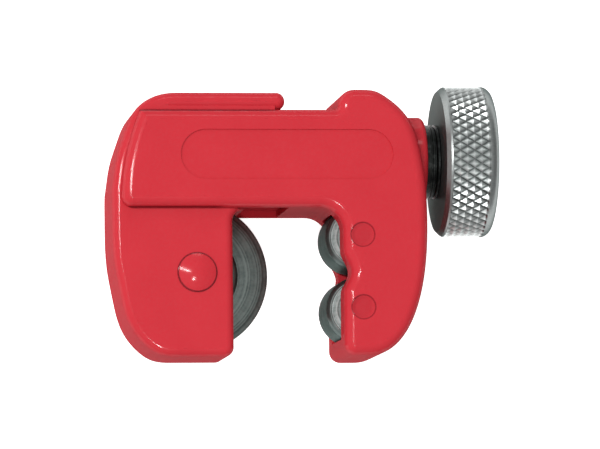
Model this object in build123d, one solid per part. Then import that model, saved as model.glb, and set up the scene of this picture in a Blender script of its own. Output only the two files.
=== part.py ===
from build123d import *
import os

# A mini pipe cutter lying on its back: +X runs towards the knob, +Y from the jaws towards the
# feed screw, +Z up through the thickness of the castings. All sizes are in millimetres.
# The pieces are drawn from the point midway between the two rollers, on the mid-plane, and are
# moved together at the end so that the origin lies under the middle of the whole tool.

FIT = 0.02            # radial clearance of pins that stay put
RUN = 0.05            # radial clearance of parts that turn

# Rollers in the right-hand jaw
ROLLER_R = 4.12
ROLLER_X = -0.15
ROLLER_HALF_W = 4.2
ROLLER_Y = 4.5        # each roller sits this far above or below the origin
ROLLER_CHAMFER = 0.45
ROLLER_PIN_R = 1.5
PIN_TOP = 7.2

# Roller frame: a fork of two prongs on the left, the jaw and the screw boss on the right
FRAME_HALF = 8.5
FRAME_EDGE = 1.3
ARM_BOTTOM = 8.0
ARM_TOP = 20.15
HUMP_X = -2.95
HUMP_TOP = 22.68
HUMP_FILLET = 0.4
JAW_FACE_X = -2.5
JAW_BOTTOM = -10.45
JAW_RIGHT_X = 8.12
THROAT_R = 3.0
CORNER_R = 1.4
BROW_R = 2.1
SLOT_HALF = 6.7       # half-width of the slot between the prongs
FLOOR_END_X = -9.1    # right of here the slot has a thin floor
SLOT_END_X = -3.0
POCKET_END_X = 3.9
POCKET_Y = (8.8, 19.3)
ROLLER_SLOT_HALF = 4.4
ROLLER_SLOT_R = 4.45
NOTCH_DEPTH = 0.95
NOTCH_HALF = 2.8
PILL_X = (-22.7, 3.8)
PILL_Y = (11.4, 17.6)
PILL_DEPTH = 0.25
DISH_R = 1.5
DISH_DEPTH = 0.2

# Feed screw line
SCREW_Y = 14.4
SCREW_R = 2.92        # M6 thread, drawn plain
SCREW_LEFT_X = -16.0
THREAD_BORE_R = 3.0
THREAD_BORE_LEFT_X = -23.5
BOSS_R = 5.6
BOSS_END_X = 8.7
BOSS_ROUND = 0.7
COUNTERBORE_R = 4.0
COUNTERBORE_X = 5.0
COLLAR_R = 3.7
COLLAR_X = (5.5, 6.4)
WASHER_T = 0.45
BUSH_X = (6.9, 8.7, 9.98)
BUSH_R = 4.65
BUSH_SHANK_R = 3.97
KNOB_WASHER_X = (10.0, 10.42)
KNOB_X = (10.5, 17.15)
KNOB_R = 9.55
KNOB_CHAMFER = 0.7
KNOB_ROUND = 1.2
KNOB_BORE_END_X = 15.3
KNOB_PIN_X = 13.8
KNOB_PIN_R = 0.75

# Wheel slide: the left-hand casting, its lip over the arm, its tongue in the slot
SLIDE_HALF = 6.6      # the slide is of one thickness and runs between the prongs
SLIDE_EDGE = 1.0
LIP_Y = (20.25, 22.45)
LIP_END_X = -9.4
BLOCK_TOP = 7.9
SLIDE_LEFT_X = -31.05
INNER_X = -24.0        # right-hand edge of the slide's back, hidden between the prongs
BLOCK_RIGHT_X = -16.1
BLOCK_CORNER_R = 1.2
BLOCK_FILLET = 1.5
TONGUE_END_X = -3.0
TONGUE_Y = (8.9, 19.1)
TONGUE_STEP_X = (-15.6, -10.7)

# Cutter wheel and its axle
WHEEL_X = -20.6
WHEEL_R = 9.45
WHEEL_BEVEL_R = 8.9
HUB_R = 5.5
HUB_HALF = 2.5
HUB_CHAMFER = 0.4
DISC_HALF = (1.0, 0.35, 0.03)
KERF_HALF = 1.3
KERF_R = 9.6
HUB_SLOT_HALF = 2.6
AXLE_R = 2.0
AXLE_TOP = 5.6
AXLE_HEAD_R = 3.1
AXLE_HEAD_Z = (-6.5, -5.4)
DOME_R = 2.4
DOME_STEP = 0.2
DOME_H = 0.5


def along_z(radius, low, high, x=0.0, y=0.0):
    """Round bar of the given radius from z = low to z = high."""
    return Pos(x, y, (low + high) / 2) * Cylinder(radius, high - low)


def along_x(radius, left, right, y=SCREW_Y):
    """Round bar on a line parallel to X, from x = left to x = right."""
    return Pos((left + right) / 2, y, 0) * Rot(0, 90, 0) * Cylinder(radius, right - left)


def block(x_range, y_range, z_range):
    """Rectangular block between the given limits."""
    size = [high - low for low, high in (x_range, y_range, z_range)]
    middle = [(high + low) / 2 for low, high in (x_range, y_range, z_range)]
    return Pos(*middle) * Box(*size)


def cap(radius, height, x, y, z):
    """Ball whose top stands height above the plane z with a rim of the given radius."""
    ball_r = (radius ** 2 + height ** 2) / (2 * height)
    return Pos(x, y, z + height - ball_r) * Sphere(ball_r)


def plate(outline, half, edge, sharp_x=(), sharp_y=()):
    """Outline made into a plate about the mid-plane, its front and back edges rounded.

    Edges whose middle has one of the given x or y values stay sharp.
    """
    solid = extrude(make_face(outline), half, both=True)
    rims = [
        rim
        for rim in solid.edges()
        if abs(abs(rim.center().Z) - half) < 1e-6
        and all(abs(rim.center().X - x) > 0.01 for x in sharp_x)
        and all(abs(rim.center().Y - y) > 0.01 for y in sharp_y)
    ]
    return fillet(rims, edge)


def frame_outline():
    """Side view of the roller frame, from the arm's left end round through the jaw."""
    left_end = (-30.0, ARM_BOTTOM + CORNER_R)
    throat = (JAW_FACE_X - THROAT_R, ARM_BOTTOM - THROAT_R)
    heel = (JAW_FACE_X + CORNER_R, JAW_BOTTOM + CORNER_R)
    brow = (HUMP_X + BROW_R, HUMP_TOP - BROW_R)
    hollow = (HUMP_X - HUMP_FILLET, ARM_TOP + HUMP_FILLET)
    widest = (JAW_RIGHT_X, 6.0)
    jaw_right = [(0.6, JAW_BOTTOM), (5.1, JAW_BOTTOM), (JAW_RIGHT_X, -4.5), widest]
    hump_right = [widest, (7.3, 15.3), (5.45, 19.7), (2.8, 22.0), (0.2, HUMP_TOP)]
    notch = [
        (JAW_FACE_X, NOTCH_HALF),
        (JAW_FACE_X + NOTCH_DEPTH / 2, NOTCH_HALF / 2),
        (JAW_FACE_X + NOTCH_DEPTH, 0),
        (JAW_FACE_X + NOTCH_DEPTH / 2, -NOTCH_HALF / 2),
        (JAW_FACE_X, -NOTCH_HALF),
    ]
    return [
        Line((left_end[0] + CORNER_R, ARM_BOTTOM), (throat[0], ARM_BOTTOM)),
        CenterArc(throat, THROAT_R, 0, 90),
        Line((JAW_FACE_X, throat[1]), notch[0]),
        Spline(notch, tangents=[(0, -1), (0, -1)]),
        Line(notch[-1], (JAW_FACE_X, heel[1])),
        CenterArc(heel, CORNER_R, 180, 90),
        Line((heel[0], JAW_BOTTOM), jaw_right[0]),
        Bezier(*jaw_right),
        Spline(hump_right, tangents=[(0, 1), (-1, 0)]),
        Line(hump_right[-1], (brow[0], HUMP_TOP)),
        CenterArc(brow, BROW_R, 90, 90),
        Line((HUMP_X, brow[1]), (HUMP_X, hollow[1])),
        CenterArc(hollow, HUMP_FILLET, 270, 90),
        Line((hollow[0], ARM_TOP), (-27.6, ARM_TOP)),
        ThreePointArc((-27.6, ARM_TOP), (-29.3, 14.8), left_end),
        CenterArc((left_end[0] + CORNER_R, left_end[1]), CORNER_R, 180, 90),
    ]


def make_roller_frame():
    body = plate(frame_outline(), FRAME_HALF, FRAME_EDGE)
    boss = along_x(BOSS_R, 1.0, BOSS_END_X)
    boss_rim = boss.edges().sort_by(Axis.X)[-1]
    body += fillet(boss_rim, BOSS_ROUND)
    # Slot between the prongs and the pocket in the jaw that takes the end of the tongue
    slot = (-SLOT_HALF, SLOT_HALF)
    body -= block((-40, FLOOR_END_X), (ARM_BOTTOM - 0.2, 30), slot)
    body -= block((FLOOR_END_X - 1, SLOT_END_X), (POCKET_Y[0], 30), slot)
    body -= block((SLOT_END_X - 1, POCKET_END_X), POCKET_Y, slot)
    # Roller slot, milled round both rollers and open towards the throat
    roller_slot = (-ROLLER_SLOT_HALF, ROLLER_SLOT_HALF)
    body -= block((-8, ROLLER_X + ROLLER_SLOT_R), (-ROLLER_Y, ROLLER_Y), roller_slot)
    for y in (-ROLLER_Y, ROLLER_Y):
        body -= along_z(ROLLER_SLOT_R, -ROLLER_SLOT_HALF, ROLLER_SLOT_HALF, ROLLER_X, y)
        body -= along_z(ROLLER_PIN_R + FIT, -FRAME_HALF - 1, PIN_TOP, ROLLER_X, y)
        # Shallow round mark over each pin on the front
        body -= along_z(DISH_R, FRAME_HALF - DISH_DEPTH, FRAME_HALF + 1, ROLLER_X, y)
    # Screw hole and the counterbore of the boss
    body -= along_x(THREAD_BORE_R + RUN, POCKET_END_X - 1, BOSS_END_X + 1)
    body -= along_x(COUNTERBORE_R, COUNTERBORE_X, BOSS_END_X + 1)
    # Shallow bare panel on the front of the arm
    pill_h = PILL_Y[1] - PILL_Y[0]
    pill = SlotOverall(PILL_X[1] - PILL_X[0], pill_h)
    pill = Pos(sum(PILL_X) / 2, sum(PILL_Y) / 2, FRAME_HALF - PILL_DEPTH) * pill
    body -= extrude(pill, PILL_DEPTH + 1)
    return body


def slide_outline():
    """Side view of the slide: lip over the arm, back of the slide and block for the wheel."""
    nose_x = LIP_END_X - 0.9
    cheek = (SLIDE_LEFT_X, BLOCK_TOP)
    back = [
        (-22.8, LIP_Y[1]),
        (-25.2, 22.15),
        (-26.75, 21.45),
        (-28.1, 20.25),
        (-29.55, 17.1),
        (-30.5, 14.0),
        (-30.95, 11.0),
        cheek,
    ]
    belly = [cheek, (-30.8, 1.2), (-30.15, -2.4), (-28.75, -6.9), (-26.3, -9.6), (-22.9, JAW_BOTTOM)]
    neck = (BLOCK_RIGHT_X + BLOCK_FILLET, BLOCK_TOP - BLOCK_FILLET)
    corner = (BLOCK_RIGHT_X - BLOCK_CORNER_R, JAW_BOTTOM + BLOCK_CORNER_R)
    return [
        Line((INNER_X, LIP_Y[0]), (nose_x, LIP_Y[0])),
        ThreePointArc((nose_x, LIP_Y[0]), (LIP_END_X, sum(LIP_Y) / 2), (nose_x, LIP_Y[1])),
        Line((nose_x, LIP_Y[1]), back[0]),
        Spline(back, tangents=[(-1, 0), (0, -1)]),
        Spline(belly, tangents=[(0, -1), (1, 0)]),
        Line(belly[-1], (corner[0], JAW_BOTTOM)),
        CenterArc(corner, BLOCK_CORNER_R, 270, 90),
        Line((BLOCK_RIGHT_X, corner[1]), (BLOCK_RIGHT_X, neck[1])),
        CenterArc(neck, BLOCK_FILLET, 90, 90),
        Line((neck[0], BLOCK_TOP), (INNER_X, BLOCK_TOP)),
        Line((INNER_X, BLOCK_TOP), (INNER_X, LIP_Y[0])),
    ]


def make_wheel_slide():
    body = plate(slide_outline(), SLIDE_HALF, SLIDE_EDGE, sharp_x=(INNER_X,), sharp_y=(BLOCK_TOP,))
    tongue = Polyline(
        (INNER_X - 1, BLOCK_TOP - 1),
        (BLOCK_RIGHT_X - 1, BLOCK_TOP - 1),
        (BLOCK_RIGHT_X - 1, BLOCK_TOP),
        (TONGUE_STEP_X[0], BLOCK_TOP),
        (TONGUE_STEP_X[0], TONGUE_Y[0]),
        (TONGUE_END_X, TONGUE_Y[0]),
        (TONGUE_END_X, TONGUE_Y[1]),
        (TONGUE_STEP_X[1], TONGUE_Y[1]),
        (TONGUE_STEP_X[1], LIP_Y[0] + 0.5),
        (INNER_X - 1, LIP_Y[0] + 0.5),
        (INNER_X - 1, BLOCK_TOP - 1),
    )
    body += extrude(make_face(tongue), SLIDE_HALF, both=True)
    body -= along_x(THREAD_BORE_R, THREAD_BORE_LEFT_X, 0)
    # Kerf for the wheel's disc and the wider slot for its hub
    body -= along_z(KERF_R, -KERF_HALF, KERF_HALF, WHEEL_X, 0)
    hub_y = HUB_R + 0.4
    body -= along_z(hub_y, -HUB_SLOT_HALF, HUB_SLOT_HALF, WHEEL_X, 0)
    body -= block((WHEEL_X, -10), (-hub_y, hub_y), (-HUB_SLOT_HALF, HUB_SLOT_HALF))
    # Axle hole, blind under a raised dome on the front
    dome_rim = SLIDE_HALF + DOME_STEP
    dome = cap(DOME_R, DOME_H, WHEEL_X, 0, dome_rim)
    body += along_z(DOME_R, SLIDE_HALF - 0.3, dome_rim, WHEEL_X, 0)
    body += dome & along_z(DOME_R, dome_rim - 0.3, dome_rim + 1, WHEEL_X, 0)
    body -= along_z(AXLE_R + FIT, -SLIDE_HALF - 1, AXLE_TOP, WHEEL_X, 0)
    body -= along_z(AXLE_HEAD_R + 0.1, -SLIDE_HALF - 1, AXLE_HEAD_Z[1], WHEEL_X, 0)
    return body


def make_cutter_wheel():
    profile = Polyline(
        (AXLE_R + RUN, -HUB_HALF),
        (HUB_R - HUB_CHAMFER, -HUB_HALF),
        (HUB_R, -HUB_HALF + HUB_CHAMFER),
        (HUB_R, -DISC_HALF[0]),
        (WHEEL_BEVEL_R, -DISC_HALF[1]),
        (WHEEL_R, -DISC_HALF[2]),
        (WHEEL_R, DISC_HALF[2]),
        (WHEEL_BEVEL_R, DISC_HALF[1]),
        (HUB_R, DISC_HALF[0]),
        (HUB_R, HUB_HALF - HUB_CHAMFER),
        (HUB_R - HUB_CHAMFER, HUB_HALF),
        (AXLE_R + RUN, HUB_HALF),
        (AXLE_R + RUN, -HUB_HALF),
    )
    half_section = make_face(Plane.XZ * profile)
    return Pos(WHEEL_X, 0, 0) * revolve(half_section, Axis.Z)


def make_wheel_axle():
    body = along_z(AXLE_R, AXLE_HEAD_Z[0], AXLE_TOP, WHEEL_X, 0)
    head = along_z(AXLE_HEAD_R, AXLE_HEAD_Z[0], AXLE_HEAD_Z[1], WHEEL_X, 0)
    body += head
    slot_x = (WHEEL_X - 4, WHEEL_X + 4)
    return body - block(slot_x, (-0.4, 0.4), (AXLE_HEAD_Z[0] - 1, AXLE_HEAD_Z[0] + 0.7))


def make_roller(y):
    body = along_z(ROLLER_R, -ROLLER_HALF_W, ROLLER_HALF_W, ROLLER_X, y)
    body = chamfer(body.edges(), ROLLER_CHAMFER)
    return body - along_z(ROLLER_PIN_R + RUN, -10, 10, ROLLER_X, y)


def make_roller_pin(y):
    body = along_z(ROLLER_PIN_R, -FRAME_HALF + 0.1, PIN_TOP, ROLLER_X, y)
    return chamfer(body.edges(), 0.2)


def make_feed_screw():
    body = along_x(SCREW_R, SCREW_LEFT_X, KNOB_BORE_END_X)
    body = chamfer(body.edges(), 0.5)
    body += along_x(COLLAR_R, COLLAR_X[0], COLLAR_X[1])
    return body - knob_pin_bar(KNOB_PIN_R + FIT, 12)


def knob_pin_bar(radius, length):
    """Bar square to the screw that starts just inside the knob's underside."""
    low = -KNOB_R + 0.8
    return along_z(radius, low, low + length, KNOB_PIN_X, SCREW_Y)


def make_knob():
    body = along_x(KNOB_R, KNOB_X[0], KNOB_X[1])
    rims = body.edges().sort_by(Axis.X)
    body = chamfer(rims[0], KNOB_CHAMFER)
    right = body.edges().filter_by(lambda rim: abs(rim.center().X - KNOB_X[1]) < 0.01)
    body = fillet(right, KNOB_ROUND)
    body -= along_x(SCREW_R + FIT, KNOB_X[0] - 1, KNOB_BORE_END_X)
    body -= along_z(KNOB_PIN_R + FIT, -KNOB_R - 1, -KNOB_R + 1, KNOB_PIN_X, SCREW_Y)
    return body - knob_pin_bar(KNOB_PIN_R + FIT, 12)


def make_retaining_bush():
    body = along_x(BUSH_R, BUSH_X[1], BUSH_X[2]) + along_x(BUSH_SHANK_R, BUSH_X[0], BUSH_X[1])
    return body - along_x(SCREW_R + RUN, 0, 20)


def make_washer(left, right, radius):
    return along_x(radius, left, right) - along_x(SCREW_R + RUN, left - 1, right + 1)


parts = {
    "roller_frame": make_roller_frame(),
    "wheel_slide": make_wheel_slide(),
    "cutter_wheel": make_cutter_wheel(),
    "wheel_axle": make_wheel_axle(),
    "upper_roller": make_roller(ROLLER_Y),
    "lower_roller": make_roller(-ROLLER_Y),
    "upper_roller_pin": make_roller_pin(ROLLER_Y),
    "lower_roller_pin": make_roller_pin(-ROLLER_Y),
    "feed_screw": make_feed_screw(),
    "knob": make_knob(),
    "knob_pin": knob_pin_bar(KNOB_PIN_R, 12),
    "retaining_bush": make_retaining_bush(),
    "inner_thrust_washer": make_washer(COUNTERBORE_X, COUNTERBORE_X + WASHER_T, 3.9),
    "outer_thrust_washer": make_washer(BUSH_X[0] - WASHER_T, BUSH_X[0], 3.9),
    "knob_washer": make_washer(KNOB_WASHER_X[0], KNOB_WASHER_X[1], BUSH_R),
}

# The origin goes under the middle of the tool, on the floor that the knob's rim touches
middle_x = (SLIDE_LEFT_X + KNOB_X[1]) / 2
middle_y = (JAW_BOTTOM + SCREW_Y + KNOB_R) / 2
os.makedirs("parts", exist_ok=True)
for name, solid in parts.items():
    placed = Pos(-middle_x, -middle_y, KNOB_R) * solid
    placed.label = name
    export_step(placed, "parts/" + name + ".step")
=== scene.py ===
import bmesh
import bpy
import numpy as np
from mathutils import Matrix, Vector


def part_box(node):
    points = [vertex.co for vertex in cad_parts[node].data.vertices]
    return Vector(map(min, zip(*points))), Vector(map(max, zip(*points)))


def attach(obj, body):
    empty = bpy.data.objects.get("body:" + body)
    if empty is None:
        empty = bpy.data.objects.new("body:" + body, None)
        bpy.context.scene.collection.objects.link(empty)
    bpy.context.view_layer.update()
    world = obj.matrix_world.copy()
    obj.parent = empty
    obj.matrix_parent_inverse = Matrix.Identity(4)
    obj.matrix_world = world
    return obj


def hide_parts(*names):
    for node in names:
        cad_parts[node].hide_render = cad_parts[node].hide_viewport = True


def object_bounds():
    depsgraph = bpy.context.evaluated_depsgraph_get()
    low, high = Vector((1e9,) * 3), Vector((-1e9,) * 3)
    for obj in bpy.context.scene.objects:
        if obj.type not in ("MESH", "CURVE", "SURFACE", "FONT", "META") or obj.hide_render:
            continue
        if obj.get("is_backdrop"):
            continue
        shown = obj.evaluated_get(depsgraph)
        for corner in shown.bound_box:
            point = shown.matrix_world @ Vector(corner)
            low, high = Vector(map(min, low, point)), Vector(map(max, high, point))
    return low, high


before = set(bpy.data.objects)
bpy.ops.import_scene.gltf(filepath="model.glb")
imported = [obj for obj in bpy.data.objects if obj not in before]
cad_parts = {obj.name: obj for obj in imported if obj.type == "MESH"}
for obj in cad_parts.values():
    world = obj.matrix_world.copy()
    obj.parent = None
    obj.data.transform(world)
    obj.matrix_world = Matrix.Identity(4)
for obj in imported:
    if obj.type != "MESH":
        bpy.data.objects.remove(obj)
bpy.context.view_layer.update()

MM = 0.001
TURN = 2 * np.pi

# The line of the two rollers, the line of the screw and the mid-plane, read from the CAD pieces
ROLLER_LINE = np.mean([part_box("upper_roller"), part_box("lower_roller")], axis=(0, 1))
SCREW_LINE = np.mean(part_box("knob"), axis=0)
WHEEL_CENTRE = np.mean(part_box("cutter_wheel"), axis=0)

# Lengths along the screw, in millimetres, are measured from just right of the rollers' line
SCREW_ZERO = (ROLLER_LINE[0] + 0.15 * MM, SCREW_LINE[1], SCREW_LINE[2])

KNURL_X = (11.25, 15.75)              # ends of the knurled band
KNURL_MIDDLE = SCREW_ZERO[0] + np.mean(KNURL_X) * MM
KNOB_RADIUS = 9.55                    # over the knurl's crests
KNOB_TEETH = 52                       # grooves of one family round the knob
KNOB_PITCH = 1.8                      # from diamond to diamond along the knob
KNURL_DEPTH = 0.42

THREAD_RADIUS = 2.92
THREAD_PITCH = 1.0
THREAD_DEPTH = 0.6
THREAD_X = (-15.6, 3.3)               # ends of the cut thread

DOME_RADIUS = 2.4                     # the dome over the wheel's axle
MARK_RADIUS = 1.5                     # the round marks over the roller pins
MARK_HEIGHTS = (-4.5, 4.5)            # of the two marks, from the rollers' line


# ---------------------------------------------------------------------- finishes

DARK_EDGE = (0.14, 0.16, 0.155, 1)    # bare metal stays dark where it is seen edge on


class Wire:
    """One output of a node, so that finishes can be written as sums."""

    def __init__(self, nodes, socket):
        self.nodes = nodes
        self.socket = socket

    def maths(self, operation, first, second=0.0):
        """One Math node on two wires or numbers."""
        return self.nodes.node("Math", {"operation": operation}, {0: first, 1: second})

    def __add__(self, other):
        return self.maths("ADD", self, other)

    def __sub__(self, other):
        return self.maths("SUBTRACT", self, other)

    def __rsub__(self, other):
        return self.maths("SUBTRACT", other, self)

    def __mul__(self, other):
        return self.maths("MULTIPLY", self, other)

    def size(self):
        """The value without its sign."""
        return self.maths("ABSOLUTE", self)

    __radd__ = __add__
    __rmul__ = __mul__

    def ramp(self, low, high):
        """0 below low, 1 above high, smooth between."""
        settings = {"interpolation_type": "SMOOTHSTEP"}
        sockets = {"Value": self, "From Min": low, "From Max": high}
        return self.nodes.node("MapRange", settings, sockets)


class Nodes:
    """A shader tree to which nodes are added one by one."""

    def __init__(self, tree):
        self.tree = tree

    def node(self, kind, settings=(), sockets=(), output=0):
        """Adds a node of that kind, sets it up, fills or links its sockets, returns one output."""
        made = self.tree.nodes.new("ShaderNode" + kind)
        for key, value in dict(settings).items():
            setattr(made, key, value)
        for key, value in dict(sockets).items():
            if isinstance(value, Wire):
                self.tree.links.new(value.socket, made.inputs[key])
            else:
                made.inputs[key].default_value = value
        return Wire(self, made.outputs[output])

    def seen_directly(self):
        """1 for what the camera sees directly, in a mirror or through glass, else 0."""
        flags = [self.node("LightPath", output=index) for index in (0, 3, 6)]
        return (flags[0] + flags[1] + flags[2]).ramp(0.0, 0.5)


class Finish(Nodes):
    """A material: a Principled surface with fixed values, and nodes that vary some of them."""

    def __init__(self, name, **fixed):
        self.material = bpy.data.materials.new(name)
        self.material.use_nodes = True
        super().__init__(self.material.node_tree)
        self.surface = self.tree.nodes["Principled BSDF"]
        for socket, value in fixed.items():
            self.surface.inputs[socket.replace("_", " ")].default_value = value

    def set(self, socket, wire):
        """Lets the wire drive that socket of the surface."""
        self.tree.links.new(wire.socket, self.surface.inputs[socket])

    def place(self, centre=(0, 0, 0), scale=(1, 1, 1)):
        """Object coordinates measured from centre, stretched by scale."""
        here = self.node("TexCoord", output=3)
        moved = self.node("VectorMath", {"operation": "SUBTRACT"}, {0: here, 1: tuple(centre)})
        return self.node("VectorMath", {"operation": "MULTIPLY"}, {0: moved, 1: tuple(scale)})

    def part(self, place, index):
        """The x, y or z of place, for index 0, 1 or 2."""
        return self.node("SeparateXYZ", {}, {0: place}, output=index)

    def length(self, place):
        """How far place is from its centre."""
        return self.node("VectorMath", {"operation": "LENGTH"}, {0: place}, output=1)

    def between(self, value, start_mm, end_mm, soft_mm):
        """1 from start to end, which value reaches and leaves over the two lengths in soft_mm."""
        rise = value.ramp((start_mm - soft_mm[0]) * MM, start_mm * MM)
        return rise * (1 - value.ramp((end_mm - soft_mm[1]) * MM, end_mm * MM))

    def noise(self, place, size_mm, detail=2.0):
        """Soft noise around 0.5 whose lumps are about size_mm across."""
        sockets = {"Vector": place, "Scale": 1 / (size_mm * MM), "Detail": detail}
        return self.node("TexNoise", {}, sockets)

    def radius(self, centre):
        """The distance from a line along z through centre."""
        return self.length(self.place(centre, (1, 1, 0)))

    def line(self, off, inner_mm, outer_mm):
        """1 where off is within inner_mm of 0, and 0 from outer_mm on."""
        return 1 - off.size().ramp(inner_mm * MM, outer_mm * MM)

    def blend(self, amount, low, high):
        """Colour that goes from low to high, wires or colours, as amount goes from 0 to 1."""
        low, high = [c if isinstance(c, Wire) else (*c, 1) for c in (low, high)]
        sockets = {0: amount, 6: low, 7: high}
        return self.node("Mix", {"data_type": "RGBA"}, sockets, output=2)

    def relief(self, height, depth_mm):
        """Bumps the surface by height, whose range 0 to 1 is depth_mm."""
        sockets = {"Height": height, "Distance": depth_mm * MM, "Strength": 1.0}
        self.set("Normal", self.node("Bump", {}, sockets))


def red_enamel(name, rims=(), marks=(), seams=()):
    """Thick red enamel, patchy clear coat, painted shade in the rims, marks and seams in front.

    rims and marks are (centre, radius_mm), the marks dished with painted shade in them; seams are
    (height_mm, start_mm, end_mm), lines of painted shade along x, measured from the rollers' line.
    """
    paint = Finish(name, Specular_IOR_Level=0.0, Coat_Roughness=0.13, Coat_IOR=4.0)
    place = paint.place()
    from_rollers = paint.place(ROLLER_LINE)
    along, level, depth = [paint.part(from_rollers, index) for index in range(3)]
    front = depth.ramp(0.0, 3.0 * MM)

    lines, shaded_dishes = [], []
    # Painted shade: dark rings at rims and marks, darker hollows in marks, dark lines along seams
    for centre, radius_mm in rims:
        lines.append(paint.line(paint.radius(centre) - radius_mm * MM, 0.048, 0.12))
    for centre, radius_mm in marks:
        radius = paint.radius(centre)
        lines.append(0.6 * paint.line(radius - radius_mm * MM, 0.048, 0.12))
        shaded_dishes.append(1 - radius.ramp(0.63 * radius_mm * MM, 1.06 * radius_mm * MM))
    for height_mm, start_mm, end_mm in seams:
        line = paint.line(level - height_mm * MM, 0.08, 0.24)
        lines.append(line * paint.between(along, start_mm, end_mm, (0.2, 2.5)))
    shade, shaded_dish = (sum(lines) * front).ramp(0.0, 1.0), sum(shaded_dishes) * front

    red = paint.blend(paint.noise(place, 5.0), (0.5, 0.024, 0.035), (0.55, 0.03, 0.042))
    # The base colour darkens where the painted shade and the marks' painted hollows lie
    paint.set("Base Color", paint.blend(0.68 * shade + 0.17 * shaded_dish, red, (0.12, 0.006, 0.012)))
    paint.set("Roughness", 0.4 + 0.12 * paint.noise(place, 2.5))
    patches = paint.noise(place, 0.3, 1.0).ramp(0.42, 0.62)
    paint.set("Coat Weight", 0.036 + 0.026 * patches)
    paint.relief(paint.noise(place, 0.5, 0.0) - 4.0 * shade - 12.0 * shaded_dish, 0.016)
    return paint.material


def turned_steel(name, low, high, centre, ring_mm, shade_band_mm):
    """Lathe-turned steel: fine rings on the faces, painted shade in a band between two radii."""
    steel = Finish(name, Metallic=1.0, Specular_Tint=DARK_EDGE)
    radius = steel.radius(centre)
    rings = steel.noise(steel.node("CombineXYZ", {}, {0: radius}), ring_mm, 3.0)
    streaks = steel.noise(steel.place(centre, (0.15, 0.15, 1.0)), ring_mm, 2.0)
    mottle = steel.noise(steel.place(centre), 0.35, 3.0)
    # Painted shade: the band between the two radii, over the rounded edge, is darkened
    band = steel.between(radius, *shade_band_mm, (0.08, 0.08))
    shade = (0.65 * rings + 0.2 * streaks + 0.15 * mottle).ramp(0.36, 0.64) * (1 - 0.75 * band)
    steel.set("Base Color", steel.blend(shade, low, high))
    steel.set("Roughness", 0.36 + 0.12 * shade + 0.08 * mottle)
    steel.relief(rings + 0.3 * streaks, 0.01)
    return steel.material


def knurled_metal():
    """Bare metal: the knurl goes from dark grooves over grey flanks to bright crests,
    painted shade in the grooves and a painted highlight on the crests.

    The plain faces beside it have fine scratches.
    """
    metal = Finish("knurled_metal", Metallic=1.0, Specular_Tint=DARK_EDGE)
    radius = metal.length(metal.place(SCREW_LINE, (0, 1, 1)))
    flank, crest = radius.ramp(9.1 * MM, 9.27 * MM), radius.ramp(9.22 * MM, 9.46 * MM)
    scratches = metal.noise(metal.place(scale=(0.1, 1, 1)), 0.12, 2.0)
    mottle = metal.noise(metal.place(), 0.4, 3.0)
    along = metal.part(metal.place((KNURL_MIDDLE, 0, 0)), 0)
    off_band = along.size().ramp(2.2 * MM, 2.3 * MM)
    # Painted shade in the grooves and a painted highlight on the crests, set by radius
    knurled = flank * (0.5 + 0.5 * crest) * (0.75 + 0.5 * mottle)
    plain = 0.17 + 0.14 * mottle + 0.12 * scratches
    tone = 0.92 * knurled * (1 - off_band) + plain * off_band
    metal.set("Base Color", metal.blend(tone, (0.04, 0.048, 0.046), (0.86, 0.9, 0.89)))
    metal.set("Roughness", 0.3 + 0.15 * mottle)
    metal.relief(scratches + 0.4 * mottle, 0.006)
    return metal.material


def black_oxide():
    """Blackened steel: near black, a little sheen, slightly worn in patches."""
    black = Finish("black_oxide", Metallic=0.85)
    place = black.place()
    wear = black.noise(place, 0.6, 3.0)
    worn = wear.ramp(0.45, 0.8)
    black.set("Base Color", black.blend(worn, (0.012, 0.014, 0.013), (0.05, 0.055, 0.053)))
    black.set("Roughness", 0.3 + 0.2 * black.noise(place, 0.25))
    black.relief(wear, 0.004)
    return black.material


def ground_steel():
    """Plain ground pins and washers: pale steel with fine scratches."""
    steel = Finish("ground_steel", Metallic=1.0)
    grain = steel.noise(steel.place(scale=(1, 1, 0.1)), 0.08, 2.0)
    mottle = steel.noise(steel.place(), 1.0, 3.0)
    steel.set("Base Color", steel.blend(mottle, (0.42, 0.42, 0.43), (0.58, 0.58, 0.6)))
    steel.set("Roughness", 0.25 + 0.2 * grain)
    steel.relief(grain, 0.003)
    return steel.material


# ------------------------------------------------------------------------ shapes


def dress(mesh, name, crease_deg, finish, body, nodes):
    """Turns a mesh into a finished piece that rides on a body and stands for CAD nodes."""
    mesh.shade_smooth()
    mesh.set_sharp_from_angle(angle=np.radians(crease_deg))
    mesh.materials.clear()
    mesh.materials.append(finish)
    piece = bpy.data.objects.new(name, mesh)
    bpy.context.scene.collection.objects.link(piece)
    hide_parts(*nodes)
    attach(piece, body)
    even = piece.modifiers.new("even_normals", "WEIGHTED_NORMAL")
    even.weight = 100
    even.keep_sharp = True
    return piece


def turned(profile, steps, relief=None):
    """Rings of points: profile rows are (along, radius), turned round the along axis.

    Ring i has the points (along_i, r cos a, r sin a), with r = radius_i + relief(a, along_i),
    and joins ring i + 1 with four-sided faces; a radius of 0 at either end is one point.
    A profile that starts and ends at the same place closes on itself. Millimetres.
    """
    profile = np.asarray(profile, float)
    closed = np.allclose(profile[0], profile[-1])
    rows = profile[:-1] if closed else profile
    angle = np.arange(steps) / steps * TURN
    along = rows[:, :1] + 0 * angle
    radius = rows[:, 1:] + 0 * angle
    if relief is not None:
        radius = radius + relief(angle[None, :], along)
    points = np.stack([along, radius * np.cos(angle), radius * np.sin(angle)], axis=-1)
    count = len(rows)
    ring = np.arange(count)[:, None] * steps + np.arange(steps)
    upper = np.roll(ring, -1, axis=0) if closed else ring[1:]
    lower = ring if closed else ring[:-1]
    ahead = np.roll(lower, -1, axis=1), np.roll(upper, -1, axis=1)
    quads = np.stack([lower, ahead[0], ahead[1], upper], axis=-1).reshape(-1, 4)
    return points.reshape(-1, 3), quads


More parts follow.
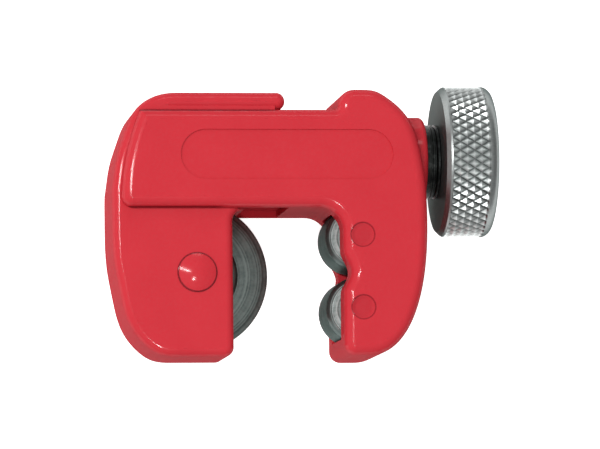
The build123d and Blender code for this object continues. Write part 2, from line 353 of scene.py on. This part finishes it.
def lathe(
    name, profile, steps, finish, body, nodes, centre, axis="x", crease=30, relief=None
):
    """A turned piece about an axis through centre. Ends at radius 0 are welded to one point."""
    points, quads = turned(profile, steps, relief)
    if axis == "z":
        points = points[:, [1, 2, 0]]
    places = points * MM + np.asarray(centre)
    mesh = bpy.data.meshes.new(name)
    mesh.from_pydata(places, [], quads)
    weld(mesh)
    return dress(mesh, name, crease, finish, body, nodes)


def weld(mesh, distance=1e-7):
    """Merges points closer than distance, in metres, and turns every face outwards."""
    work = bmesh.new()
    work.from_mesh(mesh)
    bmesh.ops.remove_doubles(work, verts=work.verts, dist=distance)
    bmesh.ops.recalc_face_normals(work, faces=work.faces)
    work.to_mesh(mesh)
    work.free()


def casting(name, node, finish, body):
    """A copy of a CAD casting, welded so that its rounded edges shade smoothly."""
    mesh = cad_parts[node].data.copy()
    mesh.name = name
    mesh.attributes.remove(mesh.attributes["custom_normal"])    # they fit the loose triangles
    weld(mesh)
    return dress(mesh, name, 30, finish, body, [node])


# ------------------------------------------------------------------------ pieces

# Lines of painted shade along the joints above and below the arm: height, left end and right end
FRAME_SHADE_LINES = ((20.08, -27.6, -9.4), (7.95, -29.6, -16.1))
PIN_MARKS = [(np.add(ROLLER_LINE, (0, y * MM, 0)), MARK_RADIUS) for y in MARK_HEIGHTS]
FRAME_ENAMEL = red_enamel("frame_enamel", marks=PIN_MARKS, seams=FRAME_SHADE_LINES)
# The dome's rim on the slide gets a thin ring of painted shade
SLIDE_ENAMEL = red_enamel("slide_enamel", rims=[(WHEEL_CENTRE, DOME_RADIUS)])
BLACK = black_oxide()
STEEL = ground_steel()
KNURL = knurled_metal()
WHEEL_STEEL = turned_steel(
    "wheel_steel", (0.1, 0.122, 0.115), (0.23, 0.27, 0.255), WHEEL_CENTRE, 0.3, (5.2, 5.6)
)

casting("frame_casting", "roller_frame", FRAME_ENAMEL, "frame")
casting("slide_casting", "wheel_slide", SLIDE_ENAMEL, "slide")


def knurl(angle, along):
    """Pointed diamonds: the lower of two families of crossing V-grooves.

    Each family is the distance to the nearest whole number of teeth * a / turn +- x / pitch,
    doubled, so it is 0 in a groove and 1 on a crest; outside the band the relief is 0.
    """
    around = KNOB_TEETH * angle / TURN
    across = (along - KNURL_X[0]) / KNOB_PITCH
    one = 2 * np.abs((around + across) - np.round(around + across))
    two = 2 * np.abs((around - across) - np.round(around - across))
    slack = 0.01
    band = (along > KNURL_X[0] - slack) & (along < KNURL_X[1] + slack)
    return np.where(band, KNURL_DEPTH * (np.minimum(one, two) - 1), 0.0)


def knob_profile():
    """From the bored left face over the chamfer, the band and the rounded edge to the right.

    The edge is a quarter circle: centre + edge_radius * (sin b, cos b), b from 0 to a quarter turn.
    """
    left = [
        (15.3, 0), (15.3, 2.94), (10.5, 2.94), (10.5, 5.0), (10.5, 8.83), (11.0, 9.32),
        (11.22, 9.4),
    ]
    band = [(x, KNOB_RADIUS) for x in np.linspace(*KNURL_X, 31)]
    edge_x, edge_y, edge_radius = 15.95, 8.3, 1.2
    bend = np.linspace(0, TURN / 4, 9)
    edge = [(edge_x + edge_radius * np.sin(b), edge_y + edge_radius * np.cos(b)) for b in bend]
    right = [(17.15, 6.4), (16.95, 6.1), (16.95, 1.0), (16.95, 0)]
    return left + band + edge + right


lathe(
    "knurled_knob", knob_profile(), KNOB_TEETH * 12, KNURL, "knob", ["knob"],
    SCREW_ZERO, crease=24, relief=knurl,
)


def thread(angle, along):
    """V-thread: twice the distance from along / pitch - a / turn to a whole number.

    That is 0 on a crest and 1 in a root; it is stretched and clipped so that crests are flat.
    """
    phase = along / THREAD_PITCH - angle / TURN
    saw = 2 * np.abs(phase - np.round(phase))
    inside = (along > THREAD_X[0]) & (along < THREAD_X[1])
    return np.where(inside, -THREAD_DEPTH * np.clip(1.25 * saw - 0.2, 0, 1), 0.0)


def screw_profile():
    """From the chamfered tip along the thread and over the collar to the end in the knob."""
    core = THREAD_RADIUS
    tip = [(-16.0, 0), (-16.0, 2.4), (THREAD_X[0], core)]
    threaded = [(x, core) for x in np.linspace(THREAD_X[0] + 0.05, THREAD_X[1] - 0.05, 151)]
    collar = [(3.4, core), (5.5, core), (5.5, 3.7), (6.4, 3.7), (6.4, core), (15.0, core)]
    return tip + threaded + collar + [(15.25, 2.6), (15.25, 0)]


lathe(
    "threaded_screw", screw_profile(), 48, BLACK, "knob", ["feed_screw"],
    SCREW_ZERO, crease=35, relief=thread,
)

# Rows are (along, radius); the bush has two grooves near the knob
bush_profile = [
    (9.98, 2.99), (9.98, 4.3), (9.88, 4.5), (9.78, 4.5), (9.68, 4.65), (9.5, 4.65), (9.42, 4.52),
    (9.3, 4.52), (9.22, 4.65), (8.7, 4.65), (8.7, 3.97), (6.9, 3.97), (6.9, 2.99), (9.98, 2.99),
]
lathe("black_bush", bush_profile, 96, BLACK, "frame", ["retaining_bush"], SCREW_ZERO)

washer_profile = [
    (10.42, 2.99), (10.42, 4.5), (10.32, 4.65), (10.1, 4.65), (10.0, 4.5), (10.0, 2.99),
    (10.42, 2.99),
]
lathe("black_washer", washer_profile, 96, BLACK, "knob", ["knob_washer"], SCREW_ZERO)


def mirrored(half):
    """A closed (along, radius) loop that is the same on both sides of its middle plane."""
    other = [(-along, radius) for along, radius in reversed(half) if along != 0]
    return half + other + [half[0]]


# From the bore over the hub's face and along the blade to its edge
wheel_half = [
    (-2.5, 2.05), (-2.5, 3.6), (-2.42, 3.75), (-2.42, 4.85), (-2.3, 5.1), (-2.1, 5.35),
    (-1.9, 5.5), (-1.15, 5.5), (-1.0, 5.62), (-0.88, 6.6), (-0.74, 7.4), (-0.5, 8.4),
    (-0.35, 8.86), (-0.05, 9.42), (0.0, 9.45),
]
lathe(
    "cutting_wheel", mirrored(wheel_half), 160, WHEEL_STEEL, "wheel", ["cutter_wheel"],
    WHEEL_CENTRE, axis="z", crease=28,
)

# From the bore over the face, a groove in it and the rounded edge to the tread
roller_half = [
    (-4.12, 1.55), (-4.12, 3.2), (-4.06, 3.3), (-4.06, 3.42), (-4.2, 3.52), (-4.2, 3.66),
    (-4.05, 3.8), (-3.78, 4.05), (-3.6, 4.12), (-1.0, 4.12),
]
for node, body in (("upper_roller", "roller_upper"), ("lower_roller", "roller_lower")):
    centre = np.mean(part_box(node), axis=0)
    roller_steel = turned_steel(
        node + "_steel", (0.1, 0.12, 0.115), (0.37, 0.42, 0.41), centre, 0.25, (3.6, 4.12)
    )
    lathe(
        "turned_" + node, mirrored(roller_half), 120, roller_steel, body, [node],
        centre, axis="z", crease=28,
    )

for node in (
    "wheel_axle", "upper_roller_pin", "lower_roller_pin", "knob_pin", "inner_thrust_washer",
    "outer_thrust_washer",
):
    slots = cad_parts[node].data.materials
    slots.clear()
    slots.append(STEEL)


# ------------------------------------------------------------------- the setting


def bench(half_size):
    """A pale floor just under the tool, a square of four points, that keeps the tool's shadow."""
    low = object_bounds()[0][2]
    signs = (-1, -1), (1, -1), (1, 1), (-1, 1)
    mesh = bpy.data.meshes.new("floor")
    corners = [(x * half_size, y * half_size, low) for x, y in signs]
    mesh.from_pydata(corners, [], [(0, 1, 2, 3)])
    floor = bpy.data.objects.new("floor", mesh)
    bpy.context.scene.collection.objects.link(floor)
    floor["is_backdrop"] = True
    pale = Finish("floor_white", Base_Color=(0.85, 0.85, 0.85, 1), Roughness=0.9)
    plain = Wire(pale, pale.surface.outputs[0])
    glow = pale.node("Emission", {}, {"Color": (1, 1, 1, 1), "Strength": 0.9})
    both = pale.node("AddShader", {}, {0: glow, 1: plain})
    mixed = pale.node("MixShader", {}, {0: pale.seen_directly(), 1: plain, 2: both})
    pale.tree.links.new(mixed.socket, pale.tree.nodes["Material Output"].inputs[0])
    mesh.materials.append(pale.material)


def softbox(name, place, size, power):
    """An oblong soft light at place, of size in metres and power in watts, facing the tool."""
    lamp = bpy.data.lights.new(name, "AREA")
    lamp.shape = "RECTANGLE"
    lamp.size, lamp.size_y = size
    lamp.energy = power
    light = bpy.data.objects.new(name, lamp)
    light.location = place
    light.rotation_euler = (-Vector(place)).to_track_quat("-Z", "Y").to_euler()
    bpy.context.scene.collection.objects.link(light)


def studio():
    """An open sky, brightest overhead and to the left, and three soft lights."""
    world = bpy.data.worlds.new("studio")
    world.use_nodes = True
    sky = Nodes(world.node_tree)
    direction = sky.node("TexCoord", output=0)
    side, height = [sky.node("SeparateXYZ", {}, {0: direction}, output=i) for i in (0, 2)]
    strength = 0.44 + 0.1 * height.ramp(0.0, 0.9) - 0.22 * side
    background = world.node_tree.nodes["Background"]
    background.inputs["Color"].default_value = (1, 1, 1, 1)
    sky.tree.links.new(strength.socket, background.inputs["Strength"])
    bpy.context.scene.world = world
    softbox("key_lamp", (-0.06, -0.137, 0.632), (0.04, 0.04), 0.9)
    softbox("left_lamp", (-0.26, 0.1, 0.58), (0.04, 0.28), 2.2)
    softbox("top_box", (0.05, 0.55, 0.5), (0.3, 0.12), 0.3)


CAMERA_SIGHT = (0.12658, 0.09406, -1.0)         # the way it looks
CAMERA_AIM = (-6.773, 6.521, 0.0)               # from the rollers' line, in millimetres
CAMERA_LEAN = 0.0125                            # turned about its sight, in radians
CAMERA_DISTANCE = 0.6
CAMERA_LENS_MM = 286.95


def camera():
    """A long lens above the tool, a few degrees towards its left and lower sides."""
    sight = Vector(CAMERA_SIGHT).normalized()
    right = sight.cross(Vector((0, 1, 0))).normalized()
    up = right.cross(sight)
    cos, sin = np.cos(CAMERA_LEAN), np.sin(CAMERA_LEAN)
    right, up = right * cos - up * sin, up * cos + right * sin
    place = Vector(ROLLER_LINE) + Vector(CAMERA_AIM) * MM - sight * CAMERA_DISTANCE
    lens = bpy.data.cameras.new("camera")
    lens.sensor_width = 36.0
    lens.lens = CAMERA_LENS_MM
    lens.clip_start = 0.05
    eye = bpy.data.objects.new("camera", lens)
    turn = Matrix((right, up, -sight)).transposed().to_4x4()
    eye.matrix_world = Matrix.Translation(place) @ turn
    bpy.context.scene.collection.objects.link(eye)
    bpy.context.scene.camera = eye


bench(1.0)
studio()
camera()
bpy.context.scene.view_settings.view_transform = "Standard"

bpy.context.view_layer.update()
